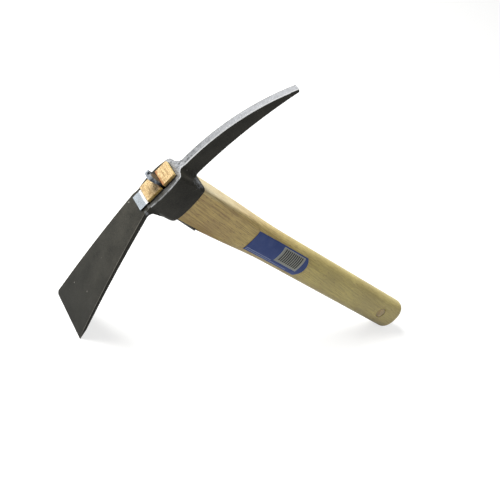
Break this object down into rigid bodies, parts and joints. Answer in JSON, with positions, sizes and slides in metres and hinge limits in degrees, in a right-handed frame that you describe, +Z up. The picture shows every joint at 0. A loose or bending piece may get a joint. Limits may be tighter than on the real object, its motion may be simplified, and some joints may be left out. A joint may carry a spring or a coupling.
{
  "type": "hand mattock",
  "caption": "Short-handled mattock: forged head with a broad drooping hoe blade and a curved cutter tail, wedged through its eye on an oval wooden handle.",
  "frame": {"origin": "centre of the bounding box in plan, at the floor under the cutting edge and the butt", "axes": "+X from the head towards the butt, +Y across the tool away from the label's side, +Z up from the floor on which the tool stands on its cutting edge and its butt"},
  "size_m": [0.3823, 0.0566, 0.2546],
  "materials": {
    "forged_steel": "dark lacquered forging scale with ground bright strips",
    "handle_wood": "smooth pale hardwood, thin clear coat",
    "wedge_steel": "blue-grey steel, hammered on its head",
    "strip_steel": "bright sheet steel",
    "label_paper": "blue printed sticker, satin"
  },
  "bodies": {
    "root": {"mattock_head": "forged_steel", "handle": "handle_wood", "kerf_wedge": "wedge_steel", "eye_shim": "strip_steel", "handle_label": "label_paper"}
  },
  "joints": []
}
